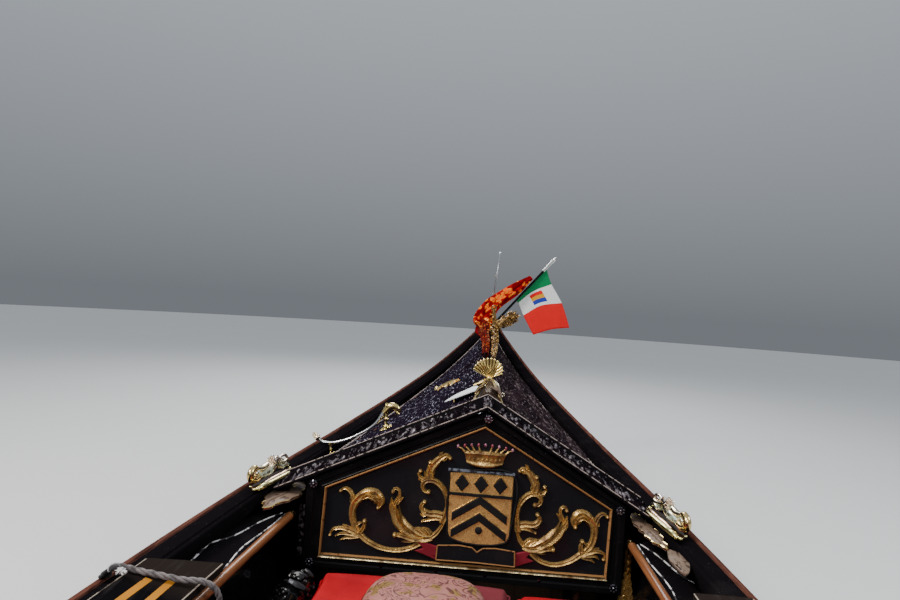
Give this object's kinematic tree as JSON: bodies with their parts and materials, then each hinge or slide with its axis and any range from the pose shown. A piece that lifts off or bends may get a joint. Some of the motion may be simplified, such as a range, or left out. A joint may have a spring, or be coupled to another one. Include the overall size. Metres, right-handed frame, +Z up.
{
  "type": "gondola boat",
  "caption": "Long, narrow rowing boat with raised ends, ridged decks, carved and brass trim, a cushioned cockpit, a crutch and a swinging oar.",
  "frame": {"origin": "on the waterline amidships, on the straight line from the stem to the stern post", "axes": "+X towards the bow, +Y to port, +Z up"},
  "size_m": [10.827, 3.8239, 1.965],
  "materials": {
    "black_lacquer": "gloss black paint on wood",
    "carved_black": "carved wood under gloss black paint",
    "bright_iron": "polished",
    "polished_brass": "polished",
    "gilding": "gold leaf on carving",
    "brown_varnish": "varnished",
    "plain_boards": "worn, matt",
    "walnut": "oiled",
    "oar_wood": "varnished",
    "red_satin": "satin",
    "pink_brocade": "brocade",
    "red_damask": "damask with gold thread",
    "flag_cloth": "bunting in three stripes",
    "grey_rope": "laid rope"
  },
  "bodies": {
    "boat": {"bottom_board": "black_lacquer", "side_port": "black_lacquer", "side_starboard": "black_lacquer", "gunwale_port": "carved_black", "gunwale_starboard": "carved_black", "stem_bow": "black_lacquer", "stern_post": "black_lacquer", "bow_iron": "bright_iron", "stern_iron": "bright_iron", "foredeck_port": "carved_black", "afterdeck_port": "black_lacquer", "foredeck_starboard": "carved_black", "afterdeck_starboard": "black_lacquer", "foredeck_ridge": "carved_black", "verge_arch": "carved_black", "panel_frame": "black_lacquer", "panel_board": "black_lacquer", "panel_shield": "gilding", "bulkhead_fore": "black_lacquer", "bulkhead_aft": "black_lacquer", "side_deck_port": "carved_black", "side_board_port": "black_lacquer", "rail_port": "brown_varnish", "side_deck_starboard": "carved_black", "side_board_starboard": "black_lacquer", "rail_starboard": "brown_varnish", "ribs_port": "black_lacquer", "ribs_starboard": "black_lacquer", "floor_boards": "plain_boards", "sea_horse_port": "polished_brass", "sea_horse_starboard": "polished_brass", "deck_handrail": "polished_brass", "deck_shell": "polished_brass", "ridge_block": "carved_black", "flagstaff": "gilding", "banner": "red_damask", "gilt_horn": "gilding", "ensign": "flag_cloth", "fore_bench": "black_lacquer", "bench_pad": "red_satin", "bench_pad_narrow": "red_satin", "brocade_cushion": "pink_brocade", "bench_arm_port": "carved_black", "bench_arm_starboard": "carved_black", "seat_base": "black_lacquer", "seat_cushion": "red_satin", "seat_back": "carved_black", "stool_port": "black_lacquer", "stool_pad_port": "red_satin", "stool_starboard": "black_lacquer", "stool_pad_starboard": "red_satin", "aft_thwart": "black_lacquer", "footboard": "plain_boards", "crutch": "walnut", "lashing": "grey_rope", "lashing_knot": "grey_rope"},
    "oar": {"oar": "oar_wood"}
  },
  "joints": [
    {"name": "oar_swing", "type": "hinge", "parent": "boat", "child": "oar", "pos_m": [-2.35, -0.48434, 1.05993], "axis": [0, 0, 1], "range_deg": [-30, 40]}
  ]
}
